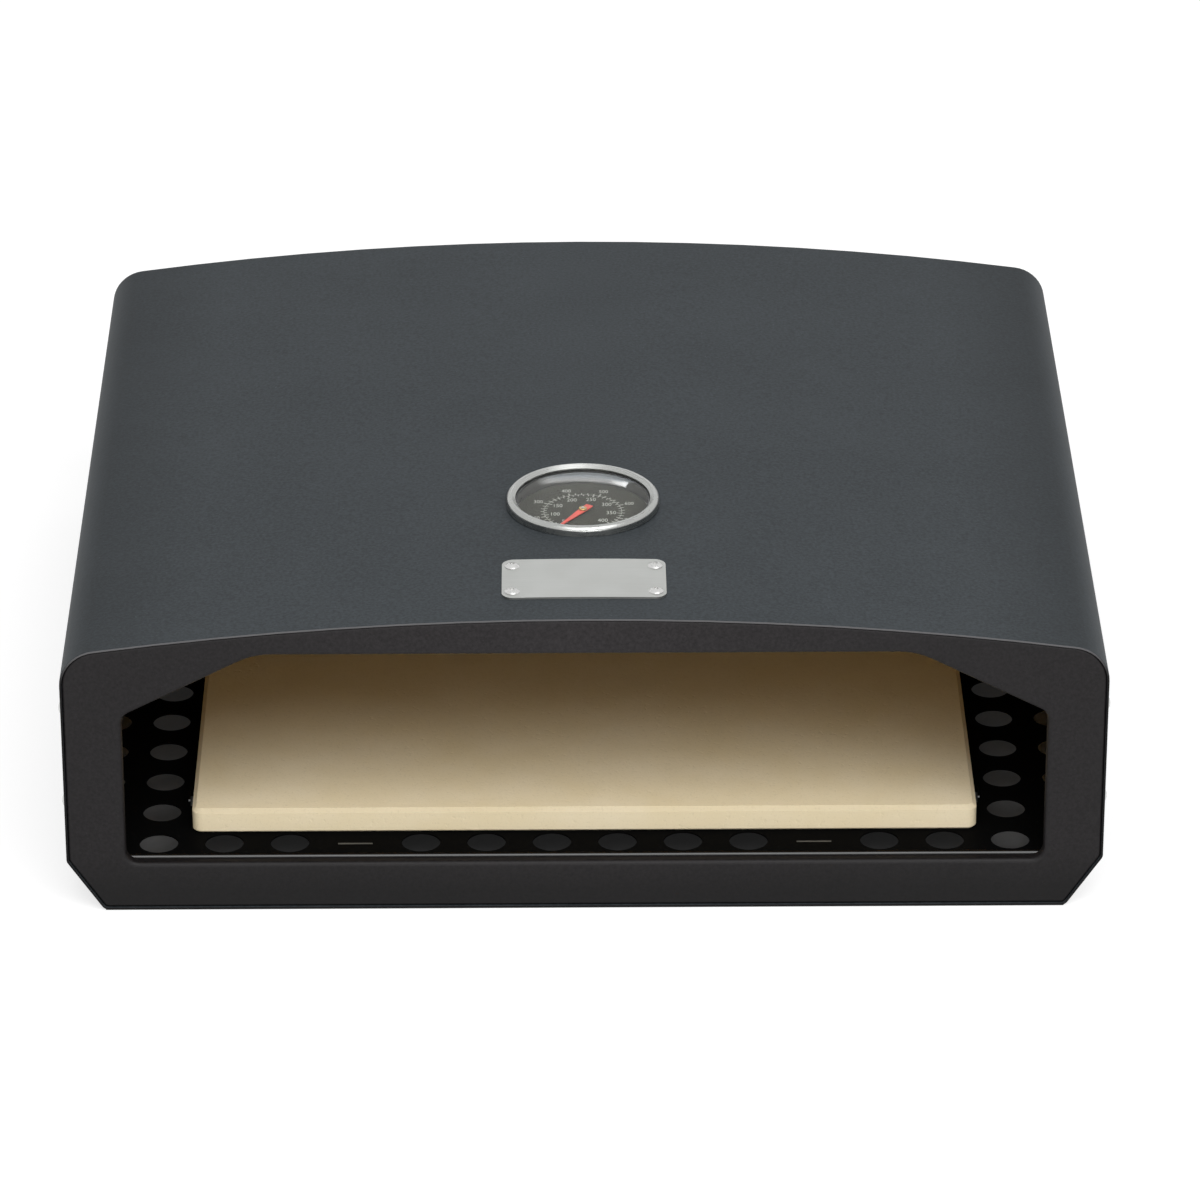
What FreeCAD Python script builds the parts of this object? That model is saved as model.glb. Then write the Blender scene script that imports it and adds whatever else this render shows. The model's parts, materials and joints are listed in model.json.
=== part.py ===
import FreeCAD, Part
import math
import os
import re

import Sketcher

# Portable pizza oven: a folded sheet casing with an arched roof and a wide mouth, a perforated floor with a
# loose baking stone, and a dial thermometer let into the roof.
# Millimetres. +Z is up, the mouth faces -Y, and the origin is the middle of the footprint on the ground.

SIZES = {
    # Casing: outside sizes of the folded shell
    "casing_width": 400.0,
    "casing_depth": 360.0,
    "casing_height": 125.0,
    "roof_rise": 14.7,
    "corner_radius": 15.0,
    "chamfer_width": 14.0,
    "chamfer_height": 21.0,
    "bend_radius": 3.0,
    "shell_sheet": 0.8,
    "shell_edge_radius": 0.3,
    "return_width": 5.0,
    # Front and rear panels: pressed pans that nest in the shell
    "panel_sheet": 1.0,
    "panel_gap": 0.1,
    "panel_recess": 0.4,
    "panel_flange": 12.0,
    "panel_inner_bend": 0.2,
    # Mouth in the front panel, set in from the casing's outside and a step below the floor
    "mouth_jamb": 23.0,
    "mouth_header": 15.4,
    "mouth_shoulder_drop": 41.5,
    "mouth_shoulder_inset": 51.0,
    "mouth_sill": 1.0,
    "mouth_corner_radius": 5.0,
    "mouth_knee_radius": 28.0,
    "mouth_bend": 1.8,
    "mouth_lip": 4.2,
    # Floor plate, seated on the chamfers a drop below their upper bend
    "floor_seat_drop": 0.7,
    "floor_sheet": 0.7,
    "floor_gap": 0.4,
    "floor_seat_gap": 0.15,
    "floor_hem": 6.0,
    "floor_bend": 1.6,
    "hole_diameter": 15.0,
    "hole_pitch": 25.4,
    "ring_margin": 12.6,
    "ring_setback": 14.9,
    "outer_hole_setback": 11.5,
    # Brackets that carry the floor plate, with a tab through it
    "bracket_sheet": 1.0,
    "bracket_width": 24.0,
    "bracket_foot": 10.0,
    "bracket_setback": 14.0,
    "tab_width": 13.4,
    "tab_gap": 0.1,
    # Stone and the lanced guides beside it
    "stone_side_margin": 47.5,
    "stone_rear_margin": 32.3,
    "stone_setback": 22.7,
    "stone_thickness": 10.0,
    "stone_corner_radius": 4.0,
    "stone_chamfer": 1.6,
    "stone_gap": 0.3,
    "guide_clearance": 1.8,
    "guide_length": 9.5,
    "guide_height": 3.0,
    "guide_radius": 1.2,
    "guide_setback": 50.0,
    # Badge plate
    "badge_width": 63.0,
    "badge_depth": 33.0,
    "badge_sheet": 0.8,
    "badge_radius": 4.5,
    "badge_setback": 33.5,
    "badge_gap": 0.05,
    "badge_rivet_side": 4.0,
    "badge_rivet_end": 5.6,
    # Blind rivets
    "rivet_shank": 3.2,
    "rivet_clearance": 0.1,
    "rivet_head": 5.8,
    "rivet_head_height": 1.2,
    "rivet_tail": 4.6,
    "rivet_tail_length": 3.0,
    "mandrel_diameter": 1.8,
    "mandrel_recess": 0.6,
    "rivet_foot": 24.0,
    "rivet_drop": 40.0,
    # Thermometer head
    "gauge_setback": 100.6,
    "bezel_diameter": 60.0,
    "bezel_sheet": 0.5,
    "bezel_lip": 3.5,
    "bezel_rim": 2.0,
    "bezel_dish": 1.3,
    "bezel_under_lip": 2.5,
    "bezel_gap": 0.1,
    "cup_inset": 3.2,
    "cup_sheet": 0.5,
    "cup_depth": 5.2,
    "cup_gap": 0.4,
    "gasket_width": 3.8,
    "gasket_thickness": 0.3,
    "lens_thickness": 1.0,
    "lens_rise": 0.8,
    "dial_sheet": 0.4,
    "dial_gap": 0.3,
    # Thermometer stem and its clamp under the roof
    "collar_diameter": 10.0,
    "collar_length": 13.5,
    "collar_spigot": 6.2,
    "collar_seat": 2.0,
    "stem_diameter": 6.0,
    "stem_wall": 0.5,
    "stem_length": 42.0,
    "plug_length": 3.0,
    "tip_length": 2.0,
    "tip_radius": 1.2,
    "bush_length": 2.5,
    "spindle_diameter": 1.4,
    "spindle_clearance": 0.05,
    "spindle_end_gap": 0.3,
    "coil_strip": 0.3,
    "coil_strip_width": 1.5,
    "coil_gap": 0.45,
    "coil_pitch": 2.5,
    "coil_turns": 11,
    "arbor_height": 0.8,
    "clamp_width": 14.0,
    "clamp_sheet": 1.2,
    "clamp_clearance": 4.0,
    "clamp_foot": 6.0,
    "clamp_drop": 10.0,
    "clamp_gap": 0.05,
    "nut_across_flats": 17.0,
    "nut_height": 5.0,
    "thread_gap": 0.05,
    # Pointer
    "pointer_length": 19.4,
    "pointer_tail": 5.0,
    "pointer_root": 3.0,
    "pointer_tip": 0.4,
    "pointer_sheet": 0.4,
    "pointer_height": 0.5,
    "pointer_rest_angle": 213.0,
    "hub_diameter": 3.2,
    "hub_height": 0.8,
    "hub_radius": 0.3,
    "spindle_proud": 0.2,
}

doc = FreeCAD.newDocument("pizza_oven")
sheet = doc.addObject("Spreadsheet::Sheet", "Sizes")
for row, (alias, value) in enumerate(SIZES.items(), start=1):
    sheet.set(f"A{row}", alias)
    sheet.set(f"B{row}", str(value))
    sheet.setAlias(f"B{row}", alias)
doc.recompute()

# Every sub-part, in the order in which it is made
sub_parts = []

# Lengths this close are the same
TOLERANCE = 1e-4


def tie(formula):
    """A formula written in the names of sizes, as an expression that reads the sheet."""
    return re.sub(r"[a-z]+(?:_[a-z]+)+", lambda name: "Sizes." + name.group(0), formula)


def number(formula):
    """The present value of a formula written in the names of sizes."""
    return float(sheet.evalExpression(tie(formula)))


def bind(feature, name, formula):
    """Tie one property of a feature to the sheet."""
    feature.setExpression(name, tie(formula))


def new_body(label):
    """An empty body for one sub-part."""
    body = doc.addObject("PartDesign::Body", label)
    body.Label = label
    sub_parts.append(body)
    return body


def new_sketch(body, plane, offset="0"):
    """A sketch on one of the body's own origin planes, moved along the plane's normal."""
    sketch = body.newObject("Sketcher::SketchObject", body.Name + "_sketch")
    support = [part for part in body.Origin.OriginFeatures if part.Role == plane]
    sketch.AttachmentSupport = [(support[0], "")]
    sketch.MapMode = "FlatFace"
    bind(sketch, "AttachmentOffset.Base.z", offset)
    doc.recompute()
    return sketch


def constrain(sketch, formula, *constraint):
    """Add one dimension to a sketch and tie it to the sheet."""
    index = sketch.addConstraint(Sketcher.Constraint(*constraint, number(formula)))
    sketch.setExpression(f"Constraints[{index}]", tie(formula))


def arc_between(start, end, radius):
    """The shorter arc between two points, anticlockwise for a positive radius."""
    chord = end - start
    side = FreeCAD.Vector(-chord.y, chord.x, 0).normalize() * math.copysign(1, radius)
    middle = (start + end) * 0.5
    centre = middle + side * math.sqrt(radius ** 2 - (chord.Length / 2) ** 2)
    return Part.Arc(start, centre - side * abs(radius), end)


def draw(sketch, corners, arcs=()):
    """A closed outline. Corners are pairs of formulas, and arcs maps a side's number to its radius."""
    arcs = dict(arcs)
    points = [FreeCAD.Vector(number(x), number(y), 0) for x, y in corners]
    count = len(points)
    first = sketch.GeometryCount
    starts = []
    ends = []
    for side, start in enumerate(points):
        end = points[(side + 1) % count]
        turn = 1
        if side in arcs:
            radius, turn = arcs[side]
            sketch.addGeometry(arc_between(start, end, turn * number(radius)))
        else:
            sketch.addGeometry(Part.LineSegment(start, end))
        starts.append(1 if turn > 0 else 2)
        ends.append(2 if turn > 0 else 1)
    for side, (x, y) in enumerate(corners):
        before = (side - 1) % count
        joint = (first + before, ends[before], first + side, starts[side])
        sketch.addConstraint(Sketcher.Constraint("Coincident", *joint))
        constrain(sketch, x, "DistanceX", -1, 1, first + side, starts[side])
        constrain(sketch, y, "DistanceY", -1, 1, first + side, starts[side])
    for side, (radius, turn) in arcs.items():
        constrain(sketch, radius, "Radius", first + side)


def draw_box(sketch, left, bottom, right, top):
    """An upright rectangle."""
    draw(sketch, ((left, bottom), (right, bottom), (right, top), (left, top)))


def draw_circle(sketch, x, y, diameter):
    """A circle."""
    centre = FreeCAD.Vector(number(x), number(y), 0)
    circle = Part.Circle(centre, FreeCAD.Vector(0, 0, 1), number(diameter) / 2)
    index = sketch.addGeometry(circle)
    constrain(sketch, x, "DistanceX", -1, 1, index, 3)
    constrain(sketch, y, "DistanceY", -1, 1, index, 3)
    constrain(sketch, diameter, "Diameter", index)


def extrude(kind, sketch, length, side="One side", flip=False):
    """A pad or a pocket from a sketch."""
    body = sketch.getParent()
    feature = body.newObject("PartDesign::" + kind, body.Name + "_" + kind.lower())
    feature.Profile = sketch
    feature.SideType = side
    feature.Reversed = flip
    bind(feature, "Length", length)
    doc.recompute()
    return feature


def pad(sketch, length, side="One side", flip=False):
    """Material added from a sketch."""
    return extrude("Pad", sketch, length, side, flip)


def pocket(sketch, length, side="One side", flip=False):
    """Material taken away from a sketch, which has to change the volume."""
    before = sketch.getParent().Shape.Volume
    feature = extrude("Pocket", sketch, length, side, flip)
    if feature.Shape.Volume > before - TOLERANCE:
        raise RuntimeError(feature.Name + " cuts nothing")
    return feature


def revolve(sketch):
    """A full turn of a sketch about its upright axis."""
    body = sketch.getParent()
    feature = body.newObject("PartDesign::Revolution", body.Name + "_revolution")
    feature.Profile = sketch
    feature.ReferenceAxis = (sketch, ["V_Axis"])
    feature.Angle = 360
    doc.recompute()
    return feature


def middle(edge):
    """The point half way along an edge."""
    return edge.valueAt((edge.FirstParameter + edge.LastParameter) / 2)


def near(value, target):
    """Whether two lengths agree."""
    return abs(value - target) < TOLERANCE


def dress(kind, base, test, size_name, size):
    """A fillet or a chamfer on the edges of a feature that pass a test."""
    body = base.getParent()
    names = [f"Edge{i}" for i, edge in enumerate(base.Shape.Edges, start=1) if test(edge)]
    feature = body.newObject("PartDesign::" + kind, body.Name + "_" + kind.lower())
    feature.Base = (base, names)
    bind(feature, size_name, size)
    doc.recompute()
    return feature


def fillet(base, test, radius):
    """Rounded edges."""
    return dress("Fillet", base, test, "Radius", radius)


def chamfer(base, test, size):
    """Bevelled edges."""
    return dress("Chamfer", base, test, "Size", size)


def hollow(base, test, wall):
    """A block turned into sheet of one thickness, open at the faces that pass a test."""
    body = base.getParent()
    names = [f"Face{i}" for i, face in enumerate(base.Shape.Faces, start=1) if test(face)]
    feature = body.newObject("PartDesign::Thickness", body.Name + "_sheet")
    feature.Base = (base, names)
    feature.Reversed = True
    feature.Join = "Intersection"
    bind(feature, "Value", wall)
    doc.recompute()
    return feature


def repeat(original, axis, step, count):
    """A row of copies of a feature along one of its sketch's axes."""
    body = original.getParent()
    feature = body.newObject("PartDesign::LinearPattern", body.Name + "_row")
    feature.Originals = [original]
    feature.Direction = (original.Profile[0], [axis])
    bind(feature, "Length", f"({step}) * (({count}) - 1)")
    bind(feature, "Occurrences", count)
    body.Tip = feature
    doc.recompute()
    return feature


def flat_at(face, axis, place):
    """Whether a face is flat and lies across an axis at a given place."""
    box = face.BoundBox
    low = getattr(box, axis + "Min")
    high = getattr(box, axis + "Max")
    return near(low, place) and near(high, place)


def both_signs(low, high):
    """A span and its mirror image, each as a pair of formulas in rising order."""
    return ((low, high), ("-" + high, "-" + low))


# Roof arc, and the slope of the lower chamfers
HALF_WIDTH = "(casing_width / 2)"
HALF_DEPTH = "(casing_depth / 2)"
ROOF_RADIUS = f"(({HALF_WIDTH} ^ 2 + roof_rise ^ 2) / (2 * roof_rise))"
SLOPE = "(chamfer_width / chamfer_height)"
SLANT = f"sqrt(1 + {SLOPE} ^ 2)"
PANEL_INSET = "(shell_sheet + panel_gap)"
PANEL_FACE = f"({HALF_DEPTH} - panel_recess)"
PANEL_BEND = "(panel_sheet + panel_inner_bend)"
FLANGE_MIDDLE = f"({PANEL_FACE} - panel_flange / 2)"
RIVET_HOLE = "(rivet_shank + rivet_clearance)"
PANEL_RIVET_HEIGHTS = ("(chamfer_height + rivet_foot)", "(casing_height - rivet_drop)")

# Floor level, mouth, and what is set in from the casing's sides and ends
FLOOR_UNDER = "(chamfer_height - floor_seat_drop)"
FLOOR_TOP = f"({FLOOR_UNDER} + floor_sheet)"
HALF_MOUTH = f"({HALF_WIDTH} - mouth_jamb)"
MOUTH_BOTTOM = f"({FLOOR_TOP} - mouth_sill)"
MOUTH_TOP = "(casing_height - mouth_header)"
HALF_STONE = f"({HALF_WIDTH} - stone_side_margin)"
GUIDE_ROW = f"({HALF_DEPTH} - guide_setback)"
GUIDE_INNER = f"({HALF_STONE} + guide_clearance)"
GUIDE_OUTER = f"({GUIDE_INNER} + floor_sheet)"
GUIDE_SPANS = both_signs(f"({GUIDE_ROW} - guide_length / 2)", f"({GUIDE_ROW} + guide_length / 2)")
BRACKET_ROW = f"({HALF_DEPTH} - bracket_setback)"
BADGE_ROW = f"({HALF_DEPTH} - badge_setback)"
BADGE_RIVET_X = "(badge_width / 2 - badge_rivet_side)"
GAUGE_ROW = f"({HALF_DEPTH} - gauge_setback)"

# Ring of holes round the stone, at about the pitch, with three holes beyond each bracket's tab
HOLES_BEYOND_TAB = 3
RING_X = f"({HALF_STONE} + ring_margin)"
RING_Y = f"({HALF_DEPTH} - ring_setback)"
COUNT_X = f"(round(2 * {RING_X} / hole_pitch) + 1)"
COUNT_Y = f"(round(2 * {RING_Y} / hole_pitch) + 1)"
STEP_X = f"(2 * {RING_X} / ({COUNT_X} - 1))"
STEP_Y = f"(2 * {RING_Y} / ({COUNT_Y} - 1))"
OUTER_X = f"({HALF_WIDTH} - outer_hole_setback)"
BRACKET_X = f"({RING_X} - {HOLES_BEYOND_TAB} * {STEP_X})"

# Head of the thermometer
BEZEL_RADIUS = "(bezel_diameter / 2)"
CUP_RADIUS = f"({BEZEL_RADIUS} - cup_inset)"


def chamfer_x(inset, height):
    """How far out the chamfer's line lies at a height, moved in by an inset."""
    return f"({HALF_WIDTH} - chamfer_width + ({height}) * {SLOPE} - ({inset}) * {SLANT})"


FLOOR_END = f"({PANEL_FACE} - mouth_lip - floor_gap)"
FLAT_END = f"({FLOOR_END} - floor_bend)"
HEM_INSET = f"({PANEL_INSET} + panel_sheet)"
FLOOR_WAIST = f"({chamfer_x(HEM_INSET, f'{FLOOR_TOP} - floor_hem')} - floor_gap)"


def roof_z(inset, x):
    """How high the roof's arc lies at a place across it, moved in by an inset."""
    return f"(casing_height - {ROOF_RADIUS} + sqrt(({ROOF_RADIUS} - ({inset})) ^ 2 - ({x}) ^ 2))"


def casing_corners(inset):
    """Corners of the casing's section, anticlockwise from the lower right, moved in by an inset."""
    side = f"({HALF_WIDTH} - ({inset}))"
    foot = chamfer_x(inset, inset)
    knee = f"(chamfer_height + ({inset}) * ({SLANT} - 1) / {SLOPE})"
    eave = roof_z(inset, side)
    right = [(foot, inset), (side, knee), (side, eave)]
    left = [("-" + x, z) for x, z in reversed(right)]
    return right + left


def runs_through(corners):
    """A test for the edges along Y that pass through one of the corners of a section."""
    spots = [(number(x), number(z)) for x, z in corners]

    def test(edge):
        place = middle(edge)
        along = near(edge.tangentAt(edge.FirstParameter).y ** 2, 1)
        return along and any(near(place.x, x) and near(place.z, z) for x, z in spots)

    return test


def casing_block(sketch, inset, length, side, flip=False):
    """A solid block with the casing's section and its rounded corners and bends."""
    corners = casing_corners(inset)
    draw(sketch, corners, {2: (f"({ROOF_RADIUS} - ({inset}))", 1)})
    block = pad(sketch, length, side, flip)
    block = fillet(block, runs_through(corners[2:4]), f"corner_radius - ({inset})")
    return fillet(block, runs_through(corners[:2] + corners[4:]), f"bend_radius - ({inset})")


def cut_rivet_holes(body, y_sign):
    """Holes along X for the rivets of the front or the rear panel."""
    sketch = new_sketch(body, "YZ_Plane")
    for height in PANEL_RIVET_HEIGHTS:
        draw_circle(sketch, y_sign + FLANGE_MIDDLE, height, RIVET_HOLE)
    return pocket(sketch, "casing_width * 2", "Symmetric")


def make_outer_shell():
    """The folded wrap: roof, sides and chamfers in one sheet, with a rim round the open underside."""
    body = new_body("outer_shell")
    block = casing_block(new_sketch(body, "XZ_Plane"), "0", "casing_depth", "Symmetric")
    end = number(HALF_DEPTH)
    hollow(block, lambda face: flat_at(face, "Y", end) or flat_at(face, "Y", -end), "shell_sheet")
    half_opening = f"{HALF_WIDTH} - chamfer_width - return_width"
    half_length = f"{HALF_DEPTH} - return_width"
    underside = new_sketch(body, "XY_Plane")
    draw_box(underside, f"-({half_opening})", f"-({half_length})", half_opening, half_length)
    pocket(underside, "chamfer_height / 2", "Symmetric")
    cut_rivet_holes(body, "-")
    cut_rivet_holes(body, "")
    roof = new_sketch(body, "XY_Plane", "casing_height")
    draw_circle(roof, "0", "-" + GAUGE_ROW, f"2 * ({CUP_RADIUS} + cup_gap)")
    for x, y in badge_rivet_spots():
        draw_circle(roof, x, y, RIVET_HOLE)
    cut = pocket(roof, "corner_radius")
    outside = number(HALF_WIDTH)

    def rim(edge):
        """The long edges of the roof and sides at either end, without the small bends."""
        place = middle(edge)
        edge_on = near(abs(edge.BoundBox.YMin), end) and near(edge.BoundBox.YLength, 0)
        outer = near(abs(place.x), outside) or place.z > number(roof_z("shell_sheet / 2", str(place.x)))
        return edge_on and outer and edge.Length > number("corner_radius")

    fillet(cut, rim, "shell_edge_radius")


def mouth_corners(grow):
    """Corners of the mouth, anticlockwise from the lower right, grown by a margin."""
    side = f"({HALF_MOUTH} + ({grow}))"
    right = [
        (side, f"({MOUTH_BOTTOM} - ({grow}))"),
        (side, f"(casing_height - mouth_shoulder_drop + ({grow}) / 2)"),
        (f"({HALF_MOUTH} - mouth_shoulder_inset + ({grow}) / 2)", f"({MOUTH_TOP} + ({grow}))"),
    ]
    left = [("-" + x, z) for x, z in reversed(right)]
    return right + left


def cut_mouth(body):
    """The mouth cut right through the panel's block, with its corners rounded."""
    sketch = new_sketch(body, "XZ_Plane", PANEL_FACE)
    corners = mouth_corners("0")
    draw(sketch, corners)
    block = pocket(sketch, "panel_flange * 2")
    block = fillet(block, runs_through(corners[:2] + corners[4:]), "mouth_corner_radius")
    return fillet(block, runs_through(corners[2:4]), "mouth_knee_radius")


def make_panel(label, with_mouth):
    """An end panel: a pan with a flange that nests in the shell, and a turned-in lip round any mouth."""
    body = new_body(label)
    sketch = new_sketch(body, "XZ_Plane", PANEL_FACE)
    block = casing_block(sketch, PANEL_INSET, "panel_flange", "One side", True)
    face = -number(PANEL_FACE)

    def on_face(edge):
        return near(edge.BoundBox.YMin, face) and near(edge.BoundBox.YMax, face)

    block = fillet(block, on_face, PANEL_BEND)
    if with_mouth:
        block = cut_mouth(body)
        reach = number(HALF_MOUTH) + TOLERANCE
        low = number(MOUTH_BOTTOM) - TOLERANCE
        high = number(MOUTH_TOP) + TOLERANCE

        def on_mouth(edge):
            place = middle(edge)
            return on_face(edge) and abs(place.x) < reach and low < place.z < high

        block = fillet(block, on_mouth, "mouth_bend")
    back = face + number("panel_flange")
    hollow(block, lambda side: flat_at(side, "Y", back), "panel_sheet")
    if with_mouth:
        lip = new_sketch(body, "XZ_Plane", f"{PANEL_FACE} - mouth_lip")
        draw(lip, mouth_corners("panel_sheet * 3"))
        pocket(lip, "panel_flange")
    cut_rivet_holes(body, "-")
    return body


def make_floor_plate():
    """The floor: a flat sheet with a ring and outer columns of holes, tab slots and lanced windows."""
    body = new_body("floor_plate")
    half = f"({chamfer_x('shell_sheet', FLOOR_UNDER)} - floor_seat_gap)"
    shoulder = f"({PANEL_FACE} - panel_flange - floor_gap)"
    sketch = new_sketch(body, "XY_Plane", FLOOR_UNDER)
    quarter = [(half, shoulder), (FLOOR_WAIST, shoulder), (FLOOR_WAIST, FLAT_END)]
    rear = quarter + [("-" + x, y) for x, y in reversed(quarter)]
    draw(sketch, rear + [(x, "-" + y) for x, y in reversed(rear)])
    pad(sketch, "floor_sheet")

    columns = new_sketch(body, "XY_Plane", FLOOR_UNDER)
    for x in (RING_X, OUTER_X):
        draw_circle(columns, x, f"-({RING_Y} - {STEP_Y})", "hole_diameter")
        draw_circle(columns, "-" + x, f"-({RING_Y} - {STEP_Y})", "hole_diameter")
    repeat(pocket(columns, "floor_sheet * 2", "Symmetric"), "V_Axis", STEP_Y, f"{COUNT_Y} - 2")
    # Rows at the front and rear, with a gap in each for the tabs of two brackets
    ends = new_sketch(body, "XY_Plane", FLOOR_UNDER)
    middles = new_sketch(body, "XY_Plane", FLOOR_UNDER)
    for y in (RING_Y, "-" + RING_Y):
        draw_circle(ends, "-" + RING_X, y, "hole_diameter")
        draw_circle(ends, f"{RING_X} - {HOLES_BEYOND_TAB - 1} * {STEP_X}", y, "hole_diameter")
        draw_circle(middles, f"{STEP_X} - {BRACKET_X}", y, "hole_diameter")
    repeat(pocket(ends, "floor_sheet * 2", "Symmetric"), "H_Axis", STEP_X, str(HOLES_BEYOND_TAB))
    middle_count = f"{COUNT_X} - {2 * (HOLES_BEYOND_TAB + 1)}"
    repeat(pocket(middles, "floor_sheet * 2", "Symmetric"), "H_Axis", STEP_X, middle_count)

    cuts = new_sketch(body, "XY_Plane", FLOOR_UNDER)
    half_tab = "(tab_width / 2 + tab_gap)"
    half_slot = "(bracket_sheet / 2 + tab_gap)"
    slot_x = both_signs(f"({BRACKET_X} - {half_tab})", f"({BRACKET_X} + {half_tab})")
    slot_y = both_signs(f"({BRACKET_ROW} - {half_slot})", f"({BRACKET_ROW} + {half_slot})")
    # The guides are lanced out of windows that the stone covers
    window_x = both_signs(f"({GUIDE_INNER} - guide_height)", GUIDE_INNER)
    for spans_x, spans_y in ((slot_x, slot_y), (window_x, GUIDE_SPANS)):
        for left, right in spans_x:
            for front, back in spans_y:
                draw_box(cuts, left, front, right, back)
    pocket(cuts, "floor_sheet * 3", "Symmetric")


def make_floor_hems():
    """The floor's front and rear edges, rolled down: solids of their own against the flat sheet's ends."""
    body = new_body("floor_hems")
    sketch = new_sketch(body, "YZ_Plane")
    foot = f"{FLOOR_TOP} - floor_hem"
    bend_end = f"{FLOOR_TOP} - floor_bend"
    inside = f"({FLOOR_END} - floor_sheet)"
    for sign, turn in (("", 1), ("-", -1)):
        draw(sketch, (
            (sign + FLAT_END, FLOOR_TOP),
            (sign + FLAT_END, FLOOR_UNDER),
            (sign + inside, bend_end),
            (sign + inside, foot),
            (sign + FLOOR_END, foot),
            (sign + FLOOR_END, bend_end),
        ), {1: ("floor_bend - floor_sheet", -turn), 5: ("floor_bend", turn)})
    pad(sketch, f"2 * {FLOOR_WAIST}", "Symmetric")


def make_stone_guides():
    """The four lanced tabs that stand beside the stone, solids of their own on the flat sheet."""
    body = new_body("stone_guides")
    sketch = new_sketch(body, "XY_Plane", FLOOR_TOP)
    for left, right in both_signs(GUIDE_INNER, GUIDE_OUTER):
        for front, back in GUIDE_SPANS:
            draw_box(sketch, left, front, right, back)
    tabs = pad(sketch, "guide_height")
    tip = number(f"{FLOOR_TOP} + guide_height")

    def upper_corner(edge):
        box = edge.BoundBox
        return near(box.ZMin, tip) and near(box.ZMax, tip) and near(box.YLength, 0)

    fillet(tabs, upper_corner, "guide_radius")


def make_bracket(label, x_sign, turn):
    """A floor bracket: a foot on the panel's bottom flange, a web, and a tab flush with the floor."""
    body = new_body(label)
    seat = f"({PANEL_INSET} + panel_sheet)"
    half = "bracket_sheet / 2"
    foot = f"-({BRACKET_ROW} + {half} + bracket_foot)"
    web_front = f"-({BRACKET_ROW} + {half})"
    web_back = f"-({BRACKET_ROW} - {half})"
    section = new_sketch(body, "YZ_Plane")
    draw(section, (
        (foot, seat),
        (web_back, seat),
        (web_back, FLOOR_UNDER),
        (web_front, FLOOR_UNDER),
        (web_front, f"{seat} + bracket_sheet"),
        (foot, f"{seat} + bracket_sheet"),
    ))
    pad(section, "bracket_width", "Symmetric")
    tab = new_sketch(body, "XY_Plane", FLOOR_UNDER)
    draw_box(tab, "-tab_width / 2", web_front, "tab_width / 2", web_back)
    pad(tab, "floor_sheet")
    body.Placement.Rotation = FreeCAD.Rotation(FreeCAD.Vector(0, 0, 1), turn)
    bind(body, "Placement.Base.x", x_sign + BRACKET_X)
    doc.recompute()


def make_pizza_stone():
    """The loose baking stone, a square slab with bevelled edges."""
    body = new_body("pizza_stone")
    bottom = f"({FLOOR_TOP} + stone_gap)"
    front = f"-({HALF_DEPTH} - stone_setback)"
    rear = f"{HALF_DEPTH} - stone_rear_margin"
    sketch = new_sketch(body, "XY_Plane", bottom)
    draw_box(sketch, "-" + HALF_STONE, front, HALF_STONE, rear)
    slab = pad(sketch, "stone_thickness")
    height = number("stone_thickness")
    base = number(bottom)
    slab = fillet(slab, lambda edge: near(edge.BoundBox.ZLength, height), "stone_corner_radius")
    slab = chamfer(slab, lambda edge: near(edge.BoundBox.ZMin, base + height), "stone_chamfer")
    chamfer(slab, lambda edge: near(edge.BoundBox.ZMax, base), "stone_chamfer / 2")


def badge_rivet_spots():
    """Where the badge's rivets stand on the roof, as pairs of formulas."""
    reach = "(badge_depth / 2 - badge_rivet_end)"
    spots = []
    for x_sign in ("-", ""):
        for y_sign in ("-", "+"):
            spots.append((x_sign + BADGE_RIVET_X, f"-{BADGE_ROW} {y_sign} {reach}"))
    return spots


def make_badge_plate():
    """A bare metal plate bent to the roof's arc."""
    body = new_body("badge_plate")
    sketch = new_sketch(body, "XZ_Plane", BADGE_ROW)
    half = "badge_width / 2"
    lower = roof_z("-badge_gap", half)
    upper = roof_z("-(badge_gap + badge_sheet)", half)
    arcs = {
        1: (f"{ROOF_RADIUS} + badge_gap + badge_sheet", 1),
        3: (f"{ROOF_RADIUS} + badge_gap", -1),
    }
    draw(sketch, ((half, lower), (half, upper), ("-" + half, upper), ("-" + half, lower)), arcs)
    plate = pad(sketch, "badge_depth", "Symmetric")
    side = number(half)

    def corner(edge):
        return near(abs(middle(edge).x), side) and near(edge.BoundBox.YLength, 0)

    fillet(plate, corner, "badge_radius")
    holes = new_sketch(body, "XY_Plane", "casing_height")
    for x, y in badge_rivet_spots():
        draw_circle(holes, x, y, RIVET_HOLE)
    pocket(holes, "corner_radius", "Symmetric")


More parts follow.
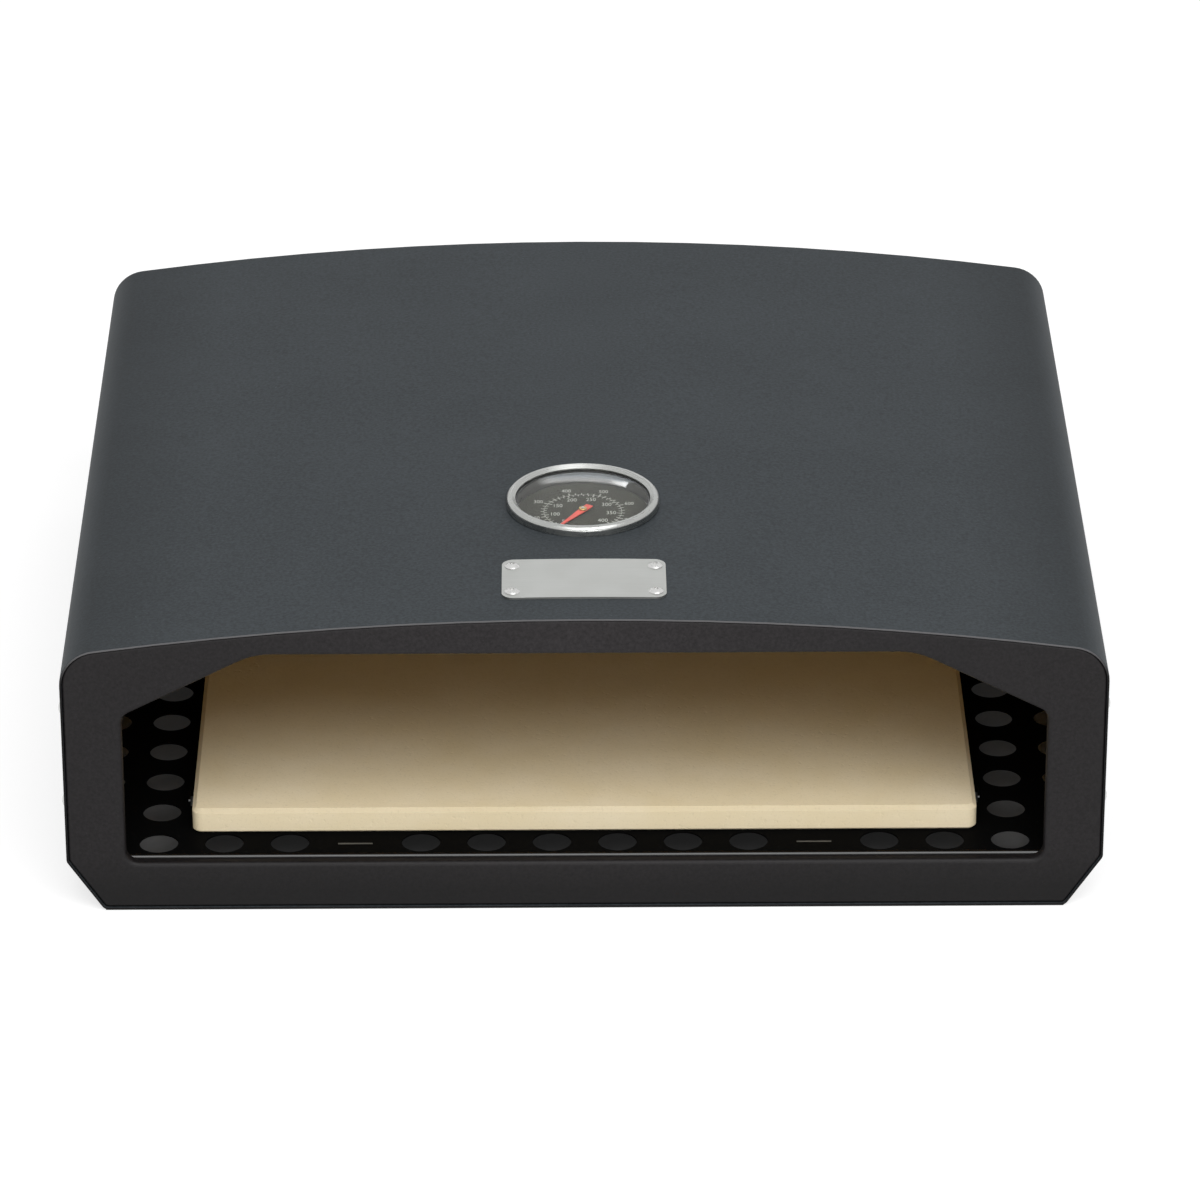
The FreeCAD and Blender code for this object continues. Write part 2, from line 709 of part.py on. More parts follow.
def rivet_solid(grip):
    """One set blind rivet along Z, its head on z = 0 and its tail under a grip of sheet."""
    shank = number("rivet_shank / 2")
    head = number("rivet_head / 2")
    rise = number("rivet_head_height")
    tail = number("rivet_tail / 2")
    end = -grip - number("rivet_tail_length")
    mandrel = number("mandrel_diameter / 2")
    dome_radius = (head ** 2 + rise ** 2) / (2 * rise)

    def dome(x):
        """A point of the domed head, at a distance from the axis."""
        return FreeCAD.Vector(x, 0, rise - dome_radius + math.sqrt(dome_radius ** 2 - x ** 2))

    top = dome(mandrel)
    recess = top.z - number("mandrel_recess")
    path = [
        (mandrel, recess),
        (0, recess),
        (0, end),
        (tail, end),
        (tail, -grip),
        (shank, -grip),
        (shank, 0),
        (head, 0),
    ]
    points = [FreeCAD.Vector(x, 0, z) for x, z in path]
    edges = [Part.makeLine(a, b) for a, b in zip(points, points[1:])]
    edges.append(Part.Arc(points[-1], dome((head + mandrel) / 2), top).toShape())
    edges.append(Part.makeLine(top, points[0]))
    profile = Part.Face(Part.Wire(edges))
    return profile.revolve(FreeCAD.Vector(0, 0, 0), FreeCAD.Vector(0, 0, 1), 360)


def make_rivets(label, grip, places):
    """A group of equal rivets at their places, as separate solids of one sub-part."""
    rivet = rivet_solid(grip)
    copies = []
    for place in places:
        copy = rivet.copy()
        copy.Placement = place
        copies.append(copy)
    group = doc.addObject("Part::Feature", label)
    group.Label = label
    group.Shape = Part.makeCompound(copies)
    sub_parts.append(group)


def make_badge_rivets():
    """The four rivets of the badge, standing on the plate where its arc is highest under each head."""
    seat = number(roof_z("-(badge_gap + badge_sheet)", f"{BADGE_RIVET_X} - rivet_head / 2"))
    under = number(roof_z("shell_sheet", f"{BADGE_RIVET_X} + rivet_tail / 2"))
    places = []
    for x, y in badge_rivet_spots():
        spot = FreeCAD.Vector(number(x), number(y), seat)
        places.append(FreeCAD.Placement(spot, FreeCAD.Rotation()))
    make_rivets("badge_rivets", seat - under, places)


def make_panel_rivets(label, y_sign):
    """The four rivets that hold an end panel's side flanges in the shell."""
    places = []
    row = number(y_sign + FLANGE_MIDDLE)
    for x_sign in (-1, 1):
        outward = FreeCAD.Rotation(FreeCAD.Vector(0, 0, 1), FreeCAD.Vector(x_sign, 0, 0))
        for height in PANEL_RIVET_HEIGHTS:
            spot = FreeCAD.Vector(x_sign * number(HALF_WIDTH), row, number(height))
            places.append(FreeCAD.Placement(spot, outward))
    make_rivets(label, number("shell_sheet + panel_gap + panel_sheet"), places)


# Levels of the thermometer's pieces above the roof's crown
FLANGE_UNDER = "(bezel_gap + bezel_sheet)"
FLANGE_TOP = f"({FLANGE_UNDER} + cup_sheet)"
LENS_UNDER = f"({FLANGE_TOP} + gasket_thickness)"
LENS_EDGE = f"({LENS_UNDER} + lens_thickness)"
RING_EDGE = f"({LENS_EDGE} + bezel_sheet)"
BEZEL_TOP = f"({RING_EDGE} + bezel_dish)"
RIM_RADIUS = f"({BEZEL_RADIUS} - bezel_sheet - bezel_gap)"
CUP_FLOOR = f"({FLANGE_TOP} - cup_depth)"
CUP_UNDER = f"({CUP_FLOOR} - cup_sheet)"
DIAL_TOP = f"({CUP_FLOOR} + dial_sheet)"
COLLAR_END = f"({CUP_UNDER} - collar_length)"
STEM_TOP = f"({CUP_FLOOR} - collar_seat)"
STEM_END = f"({STEM_TOP} - stem_length)"
STEM_BORE = "(stem_diameter / 2 - stem_wall)"
PLUG_TOP = f"({STEM_END} + plug_length)"
SPINDLE_RADIUS = "(spindle_diameter / 2)"
SPINDLE_BORE = f"({SPINDLE_RADIUS} + spindle_clearance)"
COIL_RADIUS = f"({STEM_BORE} - coil_gap)"
COIL_TOP = f"({PLUG_TOP} + coil_pitch * coil_turns + coil_strip_width)"
NEEDLE_UNDER = f"({DIAL_TOP} + pointer_height)"
NEEDLE_TOP = f"({NEEDLE_UNDER} + pointer_sheet)"
HUB_TOP = f"({NEEDLE_TOP} + hub_height)"
CLAMP_TOP = "(-shell_sheet - clamp_gap)"
CLAMP_SEAT = f"({CLAMP_TOP} - clamp_drop)"
CLAMP_UNDER = f"({CLAMP_SEAT} - clamp_sheet)"


def gauge_body(label):
    """A body of the thermometer, with its axis on the gauge's place and z = 0 on the roof's crown."""
    body = new_body(label)
    bind(body, "Placement.Base.y", "-" + GAUGE_ROW)
    bind(body, "Placement.Base.z", "casing_height")
    return body


def turned(label, corners, arcs=()):
    """A piece of the thermometer turned about the gauge's axis."""
    body = gauge_body(label)
    sketch = new_sketch(body, "XZ_Plane")
    draw(sketch, corners, arcs)
    return revolve(sketch)


def circle_at(radius, height):
    """A test for the circular edge of a radius at a height, both as formulas."""
    size = number(radius)
    level = number(height)

    def test(edge):
        box = edge.BoundBox
        return near(box.ZMin, level) and near(box.ZMax, level) and near(box.XMax, size)

    return test


def make_gauge_head():
    """Bezel, cup, gasket, domed lens and dial, stacked on the roof and crimped together."""
    inner = f"({BEZEL_RADIUS} - bezel_sheet)"
    under = f"({BEZEL_RADIUS} - bezel_under_lip)"
    aperture = f"({BEZEL_RADIUS} - bezel_lip)"
    crest = f"({BEZEL_RADIUS} - bezel_rim)"
    shoulder = f"({BEZEL_TOP} - bezel_rim)"
    # The bezel's ring is dished: it falls from a rolled rim to the lens
    turned("gauge_bezel", (
        (under, "bezel_gap"),
        (BEZEL_RADIUS, "bezel_gap"),
        (BEZEL_RADIUS, shoulder),
        (crest, BEZEL_TOP),
        (aperture, RING_EDGE),
        (aperture, LENS_EDGE),
        (crest, f"{BEZEL_TOP} - bezel_sheet"),
        (inner, shoulder),
        (inner, FLANGE_UNDER),
        (under, FLANGE_UNDER),
    ), {2: ("bezel_rim", 1), 6: ("bezel_rim - bezel_sheet", -1)})
    collar_hole = "(collar_spigot / 2)"
    cup_bore = f"({CUP_RADIUS} - cup_sheet)"
    turned("gauge_cup", (
        (collar_hole, CUP_UNDER),
        (CUP_RADIUS, CUP_UNDER),
        (CUP_RADIUS, FLANGE_UNDER),
        (RIM_RADIUS, FLANGE_UNDER),
        (RIM_RADIUS, FLANGE_TOP),
        (cup_bore, FLANGE_TOP),
        (cup_bore, CUP_FLOOR),
        (collar_hole, CUP_FLOOR),
    ))
    gasket_bore = f"({RIM_RADIUS} - gasket_width)"
    turned("lens_gasket", (
        (gasket_bore, FLANGE_TOP),
        (RIM_RADIUS, FLANGE_TOP),
        (RIM_RADIUS, LENS_UNDER),
        (gasket_bore, LENS_UNDER),
    ))
    dome_edge = f"({aperture} - bezel_gap)"
    dome_radius = f"(({dome_edge} ^ 2 + lens_rise ^ 2) / (2 * lens_rise))"
    turned("gauge_lens", (
        ("0", f"{LENS_UNDER} + lens_rise"),
        (dome_edge, LENS_UNDER),
        (RIM_RADIUS, LENS_UNDER),
        (RIM_RADIUS, LENS_EDGE),
        (dome_edge, LENS_EDGE),
        ("0", f"{LENS_EDGE} + lens_rise"),
    ), {0: (dome_radius, -1), 4: (dome_radius, 1)})
    dial_edge = f"({cup_bore} - dial_gap)"
    dial_hole = f"({SPINDLE_RADIUS} + dial_gap)"
    turned("dial_plate", (
        (dial_hole, CUP_FLOOR),
        (dial_edge, CUP_FLOOR),
        (dial_edge, DIAL_TOP),
        (dial_hole, DIAL_TOP),
    ))


def make_stem():
    """Collar, stem tube and plug, with the bush and the bimetal coil inside them."""
    way = f"({SPINDLE_RADIUS} + dial_gap)"
    collar = "(collar_diameter / 2)"
    spigot = "(collar_spigot / 2)"
    stem = "(stem_diameter / 2)"
    turned("stem_collar", (
        (way, STEM_TOP),
        (stem, STEM_TOP),
        (stem, COLLAR_END),
        (collar, COLLAR_END),
        (collar, CUP_UNDER),
        (spigot, CUP_UNDER),
        (spigot, CUP_FLOOR),
        (way, CUP_FLOOR),
    ))
    turned("stem_tube", (
        (STEM_BORE, STEM_END),
        (stem, STEM_END),
        (stem, STEM_TOP),
        (STEM_BORE, STEM_TOP),
    ))
    tip_end = f"({STEM_END} - tip_length)"
    plug = turned("stem_plug", (
        ("0", tip_end),
        (stem, tip_end),
        (stem, STEM_END),
        (STEM_BORE, STEM_END),
        (STEM_BORE, PLUG_TOP),
        ("0", PLUG_TOP),
    ))
    fillet(plug, circle_at(stem, tip_end), "tip_radius")
    turned("spindle_bush", (
        (SPINDLE_BORE, f"{STEM_TOP} - bush_length"),
        (STEM_BORE, f"{STEM_TOP} - bush_length"),
        (STEM_BORE, STEM_TOP),
        (SPINDLE_BORE, STEM_TOP),
    ))
    coil = gauge_body("bimetal_coil")
    strip = new_sketch(coil, "XZ_Plane")
    draw_box(strip, f"{COIL_RADIUS} - coil_strip", PLUG_TOP, COIL_RADIUS, f"{PLUG_TOP} + coil_strip_width")
    winding = coil.newObject("PartDesign::AdditiveHelix", "bimetal_coil_winding")
    winding.Profile = strip
    winding.ReferenceAxis = (strip, ["V_Axis"])
    winding.Mode = "pitch-turns-angle"
    bind(winding, "Pitch", "coil_pitch")
    bind(winding, "Turns", "coil_turns")
    doc.recompute()


def make_clamp():
    """The bridge that draws the gauge down on the roof from inside, and its nut on the collar."""
    bridge = gauge_body("clamp_bridge")
    leg = f"({CUP_RADIUS} + clamp_clearance)"
    outer_leg = f"({leg} + clamp_sheet)"
    foot = f"({outer_leg} + clamp_foot)"
    foot_under = f"({CLAMP_TOP} - clamp_sheet)"
    right = [
        (outer_leg, CLAMP_UNDER),
        (outer_leg, foot_under),
        (foot, foot_under),
        (foot, CLAMP_TOP),
        (leg, CLAMP_TOP),
        (leg, CLAMP_SEAT),
    ]
    section = new_sketch(bridge, "YZ_Plane")
    draw(section, right + [("-" + y, z) for y, z in reversed(right)])
    pad(section, "clamp_width", "Symmetric")
    hole = new_sketch(bridge, "XY_Plane", CLAMP_UNDER)
    draw_circle(hole, "0", "0", "collar_diameter + 2 * cup_gap")
    pocket(hole, "clamp_sheet * 3", "Symmetric")
    nut = gauge_body("clamp_nut")
    hexagon = new_sketch(nut, "XY_Plane", f"{CLAMP_UNDER} - nut_height")
    reach = "(nut_across_flats / 2 / cos(30))"
    corners = []
    for step in range(6):
        corners.append((f"{reach} * cos({60 * step})", f"{reach} * sin({60 * step})"))
    draw(hexagon, corners)
    pad(hexagon, "nut_height")
    bore = new_sketch(nut, "XY_Plane", CLAMP_UNDER)
    draw_circle(bore, "0", "0", "collar_diameter + 2 * thread_gap")
    pocket(bore, "nut_height * 3", "Symmetric")


def make_pointer():
    """Needle, hub and spindle, which turn together as the coil winds up."""
    needle = gauge_body("pointer_needle")
    shape = new_sketch(needle, "XY_Plane", NEEDLE_UNDER)
    draw(shape, (
        ("pointer_root / 2", "0"),
        ("pointer_tip / 2", "pointer_length"),
        ("-pointer_tip / 2", "pointer_length"),
        ("-pointer_root / 2", "0"),
        ("-pointer_root / 2", "-pointer_tail"),
        ("pointer_root / 2", "-pointer_tail"),
    ))
    pad(shape, "pointer_sheet")
    eye = new_sketch(needle, "XY_Plane", NEEDLE_UNDER)
    draw_circle(eye, "0", "0", "spindle_diameter")
    pocket(eye, "pointer_sheet * 3", "Symmetric")
    needle.Placement.Rotation = FreeCAD.Rotation(FreeCAD.Vector(0, 0, 1), -number("pointer_rest_angle"))
    hub = turned("pointer_hub", (
        (SPINDLE_RADIUS, NEEDLE_TOP),
        ("hub_diameter / 2", NEEDLE_TOP),
        ("hub_diameter / 2", HUB_TOP),
        (SPINDLE_RADIUS, HUB_TOP),
    ))
    fillet(hub, circle_at("hub_diameter / 2", HUB_TOP), "hub_radius")
    arbor_under = f"({COIL_TOP} + spindle_end_gap)"
    arbor_top = f"({arbor_under} + arbor_height)"
    spindle_top = f"({HUB_TOP} + spindle_proud)"
    turned("pointer_spindle", (
        ("0", f"{PLUG_TOP} + spindle_end_gap"),
        (SPINDLE_RADIUS, f"{PLUG_TOP} + spindle_end_gap"),
        (SPINDLE_RADIUS, arbor_under),
        (COIL_RADIUS, arbor_under),
        (COIL_RADIUS, arbor_top),
        (SPINDLE_RADIUS, arbor_top),
        (SPINDLE_RADIUS, spindle_top),
        ("0", spindle_top),
    ))


def check_and_export():
    """Stop at any failed feature or bad solid, and otherwise write each sub-part to its own file."""
    doc.recompute()
    for part in doc.Objects:
        if "Invalid" in part.State or "Error" in part.State:
            raise RuntimeError(f"{part.Label} failed: {part.State}")
    for part in sub_parts:
        if part.Shape.isNull() or not part.Shape.isValid() or not part.Shape.Solids:
            raise RuntimeError(part.Label + " has no valid solid")
    os.makedirs("parts", exist_ok=True)
    for part in sub_parts:
        part.Shape.exportStep(f"parts/{part.Label}.step")
        print(f"{part.Label}: {len(part.Shape.Solids)} solid, {part.Shape.Volume:.1f} mm3")


make_outer_shell()
make_panel("front_panel", True)
rear_panel = make_panel("rear_panel", False)
rear_panel.Placement.Rotation = FreeCAD.Rotation(FreeCAD.Vector(0, 0, 1), 180)
make_floor_plate()
make_floor_hems()
make_stone_guides()
for x_sign, side in (("-", "left"), ("", "right")):
    make_bracket("floor_bracket_front_" + side, x_sign, 0)
    make_bracket("floor_bracket_rear_" + side, x_sign, 180)
make_pizza_stone()
make_badge_plate()
make_badge_rivets()
make_panel_rivets("front_panel_rivets", "-")
make_panel_rivets("rear_panel_rivets", "")
make_gauge_head()
make_stem()
make_clamp()
make_pointer()
check_and_export()
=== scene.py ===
import json
import math

import bmesh
import bpy
from mathutils import Matrix, Vector


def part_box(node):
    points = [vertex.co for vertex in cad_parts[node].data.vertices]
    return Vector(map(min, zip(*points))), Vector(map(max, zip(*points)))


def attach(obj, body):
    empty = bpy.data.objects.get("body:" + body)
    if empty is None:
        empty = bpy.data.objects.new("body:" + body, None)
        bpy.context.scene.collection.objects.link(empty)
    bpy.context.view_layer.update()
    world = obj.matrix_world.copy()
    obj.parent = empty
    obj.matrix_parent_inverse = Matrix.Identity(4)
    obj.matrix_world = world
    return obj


# Portable pizza oven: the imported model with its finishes, the print of the dial, and a plain white studio.
# Metres, in the frame of the model: +Z is up, and the mouth faces -Y.

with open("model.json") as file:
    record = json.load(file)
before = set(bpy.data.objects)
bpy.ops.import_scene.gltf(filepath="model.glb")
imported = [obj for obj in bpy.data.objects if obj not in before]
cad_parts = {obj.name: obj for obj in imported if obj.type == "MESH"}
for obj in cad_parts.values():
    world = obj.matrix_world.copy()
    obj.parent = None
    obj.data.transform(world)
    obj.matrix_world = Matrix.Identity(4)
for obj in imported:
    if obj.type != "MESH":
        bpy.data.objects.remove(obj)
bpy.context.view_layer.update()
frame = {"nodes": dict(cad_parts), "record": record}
nodes = frame["nodes"]
scene = bpy.context.scene

MM = 0.001
BLACK = (0.0, 0.0, 0.0)
WHITE = (1.0, 1.0, 1.0)


# Shader nodes

# Places of the sockets on a colour Mix node
MIX_SHARE, MIX_FIRST, MIX_SECOND, MIX_RESULT = 0, 6, 7, 2


def new_material(name, **sockets):
    """A material with one shader, whose plain values are set on its own sockets."""
    material = bpy.data.materials.new(name)
    material.use_nodes = True
    tree = material.node_tree
    shader = tree.nodes["Principled BSDF"]
    for socket, value in sockets.items():
        shader.inputs[socket.replace("_", " ")].default_value = value
    return material, tree, shader


def add(tree, kind, inputs=None, **settings):
    """A node with its settings, and its inputs either linked or set."""
    node = tree.nodes.new("ShaderNode" + kind)
    for key, value in settings.items():
        setattr(node, key, value)
    for key, value in (inputs or {}).items():
        if isinstance(value, bpy.types.NodeSocket):
            tree.links.new(value, node.inputs[key])
        else:
            node.inputs[key].default_value = value
    return node


def reckon(tree, operation, *values):
    """The result of one operation on numbers."""
    return add(tree, "Math", dict(enumerate(values)), operation=operation).outputs[0]


def reckon_vector(tree, operation, *values):
    """The outputs of one operation on vectors: a Vector, or a Value where the result is a number."""
    return add(tree, "VectorMath", dict(enumerate(values)), operation=operation).outputs


def scaled_vector(tree, vector, factor):
    """A vector or colour times a number."""
    return add(tree, "VectorMath", {0: vector, "Scale": factor}, operation="SCALE").outputs["Vector"]


def split(tree, vector):
    """The X, Y and Z of a vector."""
    return add(tree, "SeparateXYZ", {"Vector": vector}).outputs


def total(tree, *values):
    """The sum of several values."""
    result = values[0]
    for value in values[1:]:
        result = reckon(tree, "ADD", result, value)
    return result


def product(tree, *values):
    """The product of several values."""
    result = values[0]
    for value in values[1:]:
        result = reckon(tree, "MULTIPLY", result, value)
    return result


def spread(tree, value, low, high, to_low=0.0, to_high=1.0):
    """A value moved from one range to another, and held inside it."""
    inputs = {"Value": value, "From Min": low, "From Max": high, "To Min": to_low, "To Max": to_high}
    return add(tree, "MapRange", inputs).outputs["Result"]


def blend(tree, share, first, second):
    """A colour between two others, each linked or written as red, green and blue."""
    mix = add(tree, "Mix", data_type="RGBA")
    tree.links.new(share, mix.inputs[MIX_SHARE])
    for socket, colour in ((mix.inputs[MIX_FIRST], first), (mix.inputs[MIX_SECOND], second)):
        if isinstance(colour, bpy.types.NodeSocket):
            tree.links.new(colour, socket)
        else:
            socket.default_value = (*colour, 1.0)
    return mix.outputs[MIX_RESULT]


def times(colour, factor):
    """A written colour made darker or paler."""
    return tuple(factor * value for value in colour)


def place(tree, stretch=(1, 1, 1)):
    """The place on the piece in metres, stretched along its axes."""
    source = add(tree, "TexCoord")
    mapping = add(tree, "Mapping", {"Vector": source.outputs["Object"]})
    mapping.inputs["Scale"].default_value = stretch
    return mapping.outputs["Vector"]


def noise(tree, where, grains, detail, roughness=0.5):
    """Noise with a number of grains to the metre."""
    inputs = {"Vector": where, "Scale": grains, "Detail": detail, "Roughness": roughness}
    return add(tree, "TexNoise", inputs).outputs["Fac"]


def bump(tree, shader, height, depth, strength):
    """Relief of a real depth in metres."""
    inputs = {"Height": height, "Distance": depth, "Strength": strength}
    node = add(tree, "Bump", inputs)
    tree.links.new(node.outputs["Normal"], shader.inputs["Normal"])


# Finishes: each pair of numbers is a range, and for a share it says where there is none and where it is full

# Most of a noise lies in this range
NOISE_RANGE = (0.3, 0.7)

# Bare inside of the shell: how far its faces look to the middle, its depths, and its heights above the ground
CASING_MIDDLE = (0.0, 0.0, 0.06)
ACROSS_CASING = (1.0, 0.0, 1.0)
FACING_INWARD = (-0.002, -0.004)
INSIDE_DEPTH = (0.177, 0.175)
ABOVE_FLOOR = (0.0198, 0.0202)
BELOW_FLOOR = (0.0202, 0.0198)
HEAT_HEIGHTS = (0.045, 0.105)
WALL_TONE = (0.25, 0.180, 0.095)
WALL_PALE = (0.33, 0.250, 0.145)
ROOF_TONE = (0.48, 0.325, 0.115)
ROOF_PALE = (0.58, 0.410, 0.155)
ZINC_TONE = (0.50, 0.50, 0.51)
ZINC_PALE = (0.66, 0.66, 0.67)

# Cut edges of the shell's sheet, which face the front or the rear: dark, except on the roof, where they carry
# a painted highlight
EDGE_FACING = (0.7, 0.9)
EDGE_HEIGHTS = (0.098, 0.112)
EDGE_DARK = (0.0085, 0.0080, 0.0082)
EDGE_HIGHLIGHT = (0.125, 0.123, 0.126)

# Painted shade that darkens the roof towards its two bends
BEND_WIDTHS = (0.150, 0.194)
ROOF_FACING = (0.7, 0.95)
BEND_SHADE_SHARE = 0.32

# Painted light on the panels: a painted highlight brightens the coat round the top of the mouth, and painted
# shade darkens it along the foot
HIGHLIGHT_CENTRE = (0.0, -0.18, 0.115)
HIGHLIGHT_DISTANCE = (0.14, 0.0)
HIGHLIGHT_GAIN = 1.94
FOOT_SHADE_HEIGHTS = (0.024, 0.008)
FOOT_SHADE_SHARE = 0.65

# Powder coat and enamel
SHELL_TONE = (0.0252, 0.0295, 0.0326)
SHELL_PALE = (0.0494, 0.0573, 0.0634)
PANEL_TONE = (0.0058, 0.0049, 0.0053)
PANEL_PALE = (0.0138, 0.0123, 0.0130)
MOTTLE_SHARE = 0.15
CLOUD_RANGE = (0.34, 0.66)
FLECK_RANGE = (0.74, 0.8)
FLECK_SHARE = 0.35
FLECK_GAIN = 2.2
COAT_GRAIN_RANGE = (0.2, 0.8)
COAT_SWING = 0.07
ENAMEL_TONE = (0.0028, 0.0028, 0.0028)
ENAMEL_DUST_RANGE = (0.62, 0.8)
ENAMEL_DUST_GAIN = 4.0
ENAMEL_DUST_ROUGHNESS = 0.12
ENAMEL_SMOOTHER = 0.03
ENAMEL_ROUGHER = 0.05

# Stone, with painted shade on its front and rear chamfers
STONE_WARM = (0.80, 0.675, 0.44)
STONE_PALE = (0.85, 0.735, 0.52)
STONE_MOTTLE_RANGE = (0.32, 0.68)
STONE_GRAIN_RANGE = (0.56, 0.78)
STONE_GRAIN_SHARE = 0.5
STONE_GRAIN_DARK = 0.72
STONE_GRAIN_HEIGHT = 0.5
STONE_ROUGHNESS = (0.72, 0.92)
STONE_PIT_RANGE = (0.28, 0.4)
CHAMFER_FACING = (0.25, 0.45)
CHAMFER_SHADE_SHARE = 0.19

# Bare metal, thin paint and glass
METAL_SWING = 0.04
METAL_PATCH_RANGE = (0.35, 0.65)
METAL_PATCH_SWING = (-0.03, 0.03)
PAINT_DEEP = 0.84
PAINT_SWING = 0.06
GLASS_TINT = (0.97, 0.985, 0.98, 1.0)
GLASS_INDEX = 1.16
SMEAR_STRETCH = (1.0, 0.4, 1.0)
SMEAR_RANGE = (0.5, 0.8)
SMEAR_ROUGHNESS = (0.0, 0.02)


def inside(tree):
    """Shares of the faces that look into the casing above and below the floor, and of the roof's heat."""
    source = add(tree, "TexCoord")
    out = reckon_vector(tree, "SUBTRACT", source.outputs["Object"], CASING_MIDDLE)["Vector"]
    across = reckon_vector(tree, "MULTIPLY", out, ACROSS_CASING)["Vector"]
    facing = reckon_vector(tree, "DOT_PRODUCT", across, source.outputs["Normal"])["Value"]
    part = split(tree, source.outputs["Object"])
    depth = reckon(tree, "ABSOLUTE", part["Y"])
    within = product(tree, spread(tree, facing, *FACING_INWARD), spread(tree, depth, *INSIDE_DEPTH))
    above = product(tree, within, spread(tree, part["Z"], *ABOVE_FLOOR))
    below = product(tree, within, spread(tree, part["Z"], *BELOW_FLOOR))
    heat = spread(tree, part["Z"], *HEAT_HEIGHTS)
    return above, below, heat


def cut_edges(tree, colour):
    """The colour, dark on the sheet's cut edges, with a painted highlight on the roof's cut edges."""
    source = add(tree, "TexCoord")
    height = split(tree, source.outputs["Object"])["Z"]
    facing = reckon(tree, "ABSOLUTE", split(tree, source.outputs["Normal"])["Y"])
    edge = blend(tree, spread(tree, height, *EDGE_HEIGHTS), EDGE_DARK, EDGE_HIGHLIGHT)
    return blend(tree, spread(tree, facing, *EDGE_FACING), colour, edge)


def near_bends(tree):
    """A share of painted shade that grows over the last of the roof before its two bends."""
    source = add(tree, "TexCoord")
    across = reckon(tree, "ABSOLUTE", split(tree, source.outputs["Object"])["X"])
    up = split(tree, source.outputs["Normal"])["Z"]
    return product(tree, spread(tree, across, *BEND_WIDTHS, 0.0, BEND_SHADE_SHARE), spread(tree, up, *ROOF_FACING))


def heat_wear(tree, colour):
    """The colour, brightened by a painted highlight round the top of the mouth, and darkened by painted shade
    along the foot.
    """
    where = add(tree, "TexCoord").outputs["Object"]
    away = reckon_vector(tree, "DISTANCE", where, HIGHLIGHT_CENTRE)["Value"]
    header_highlight = spread(tree, away, *HIGHLIGHT_DISTANCE, 1.0, HIGHLIGHT_GAIN)
    height = split(tree, where)["Z"]
    foot_shade = spread(tree, height, *FOOT_SHADE_HEIGHTS, 1.0, 1.0 - FOOT_SHADE_SHARE)
    return scaled_vector(tree, colour, product(tree, header_highlight, foot_shade))


def powder_coat(name, tone, pale, roughness, specular, bare_inside=False):
    """Fine textured powder coat: small grains, a soft mottle and a few pale dust specks."""
    material, tree, shader = new_material(name, Specular_IOR_Level=specular)
    where = place(tree)
    grains = noise(tree, where, grains=800.0, detail=3.0, roughness=0.65)
    mottle = noise(tree, where, grains=22.0, detail=4.0, roughness=0.55)
    both = total(tree, product(tree, mottle, MOTTLE_SHARE), product(tree, grains, 1.0 - MOTTLE_SHARE))
    colour = blend(tree, spread(tree, both, *CLOUD_RANGE), tone, pale)
    flecks = noise(tree, where, grains=900.0, detail=1.0)
    flecks = spread(tree, flecks, *FLECK_RANGE, 0.0, FLECK_SHARE)
    colour = blend(tree, flecks, colour, times(pale, FLECK_GAIN))
    if bare_inside:
        # Painted shade: the roof darkens towards its two bends
        colour = blend(tree, near_bends(tree), colour, BLACK)
        # Painted highlight on the roof's front and rear cut edges
        colour = cut_edges(tree, colour)
        bare, zinc, heat = inside(tree)
        patches = spread(tree, mottle, *NOISE_RANGE)
        wall = blend(tree, patches, WALL_TONE, WALL_PALE)
        roof = blend(tree, patches, ROOF_TONE, ROOF_PALE)
        colour = blend(tree, bare, colour, blend(tree, heat, wall, roof))
        colour = blend(tree, zinc, colour, blend(tree, patches, ZINC_TONE, ZINC_PALE))
        tree.links.new(bare, shader.inputs["Metallic"])
    else:
        # Painted highlight round the top of the mouth, and painted shade along the foot
        colour = heat_wear(tree, colour)
    tree.links.new(colour, shader.inputs["Base Color"])
    rough = spread(tree, grains, *COAT_GRAIN_RANGE, roughness - COAT_SWING, roughness + COAT_SWING)
    tree.links.new(rough, shader.inputs["Roughness"])
    bump(tree, shader, grains, depth=0.09 * MM, strength=0.5)
    return material


def enamel(name, roughness, specular):
    """Black enamel that flowed out with a faint orange peel, and dust in it."""
    material, tree, shader = new_material(name, Specular_IOR_Level=specular)
    where = place(tree)
    peel = noise(tree, where, grains=260.0, detail=2.0)
    dust = noise(tree, where, grains=700.0, detail=3.0, roughness=0.7)
    dust = spread(tree, dust, *ENAMEL_DUST_RANGE)
    colour = blend(tree, dust, ENAMEL_TONE, times(ENAMEL_TONE, ENAMEL_DUST_GAIN))
    tree.links.new(colour, shader.inputs["Base Color"])
    uneven = spread(tree, peel, *NOISE_RANGE, roughness - ENAMEL_SMOOTHER, roughness + ENAMEL_ROUGHER)
    rough = total(tree, uneven, product(tree, dust, ENAMEL_DUST_ROUGHNESS))
    tree.links.new(rough, shader.inputs["Roughness"])
    bump(tree, shader, peel, depth=0.04 * MM, strength=0.4)
    return material


def rubbed_edges(tree):
    """A share of painted shade that darkens the stone's front and rear chamfers a little."""
    facing = split(tree, add(tree, "TexCoord").outputs["Normal"])
    along = reckon(tree, "ABSOLUTE", facing["Y"])
    return spread(tree, product(tree, along, facing["Z"]), *CHAMFER_FACING, 0.0, CHAMFER_SHADE_SHARE)


